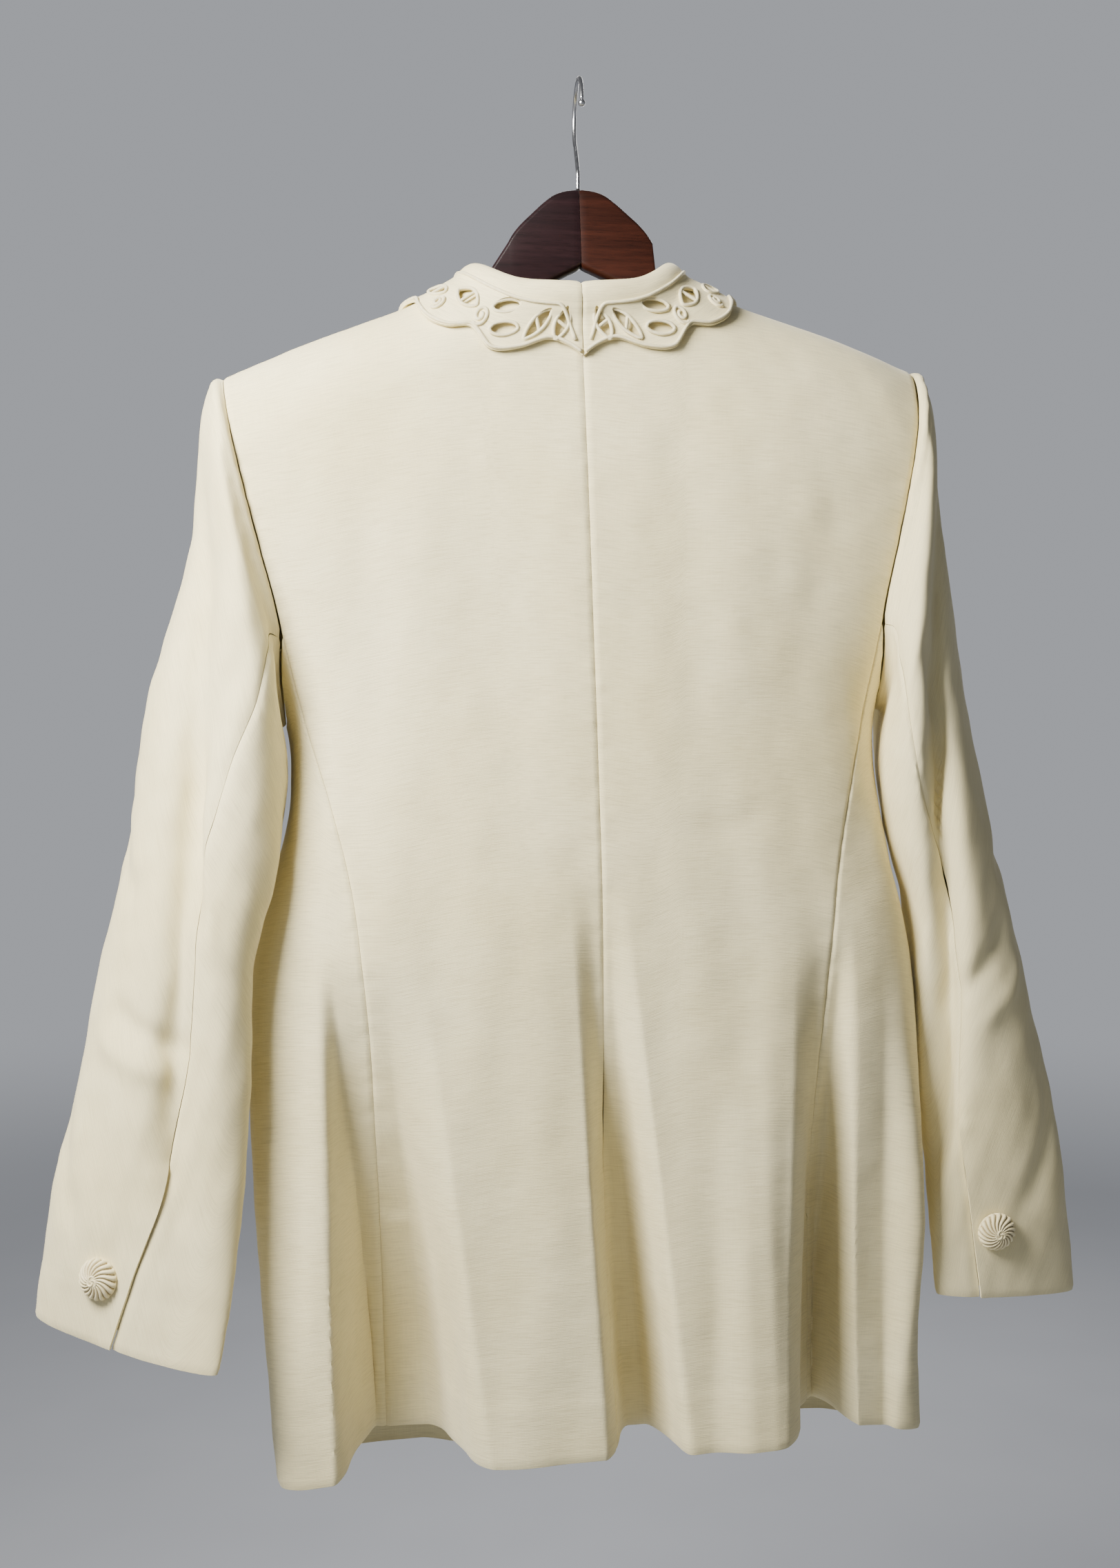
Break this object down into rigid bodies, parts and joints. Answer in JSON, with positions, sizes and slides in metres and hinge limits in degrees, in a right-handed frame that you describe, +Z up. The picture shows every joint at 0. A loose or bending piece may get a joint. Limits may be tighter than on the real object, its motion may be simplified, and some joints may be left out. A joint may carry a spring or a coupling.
{
  "type": "suit jacket on a wooden hanger",
  "caption": "Long cream suit jacket with a flat cutwork collar and cord-wound buttons, hanging open and empty on a dark wooden hanger with a wire hook.",
  "frame": {"origin": "inside the crown of the hook, where it rests on a rod", "axes": "+Z up, -Y the side of the jacket's back, +Y its front, +X to the right seen from the back"},
  "size_m": [0.6689, 0.1532, 0.887],
  "materials": {
    "cream_cloth": "matt woven wool and linen look",
    "cream_cord": "wound cord",
    "dark_wood": "satin varnish",
    "steel": "satin"
  },
  "bodies": {
    "root": {"back_left": "cream_cloth", "back_right": "cream_cloth", "side_left": "cream_cloth", "side_right": "cream_cloth", "front_left": "cream_cloth", "front_right": "cream_cloth", "sleeve_top_left": "cream_cloth", "sleeve_top_right": "cream_cloth", "sleeve_under_left": "cream_cloth", "sleeve_under_right": "cream_cloth", "collar_left": "cream_cloth", "collar_right": "cream_cloth", "cuff_button_left": "cream_cord", "cuff_button_right": "cream_cord", "front_button_1": "cream_cord", "front_button_2": "cream_cord", "front_button_3": "cream_cord", "front_button_4": "cream_cord", "hanger_left": "dark_wood", "hanger_right": "dark_wood", "hook": "steel", "hook_ball": "steel"}
  },
  "joints": []
}
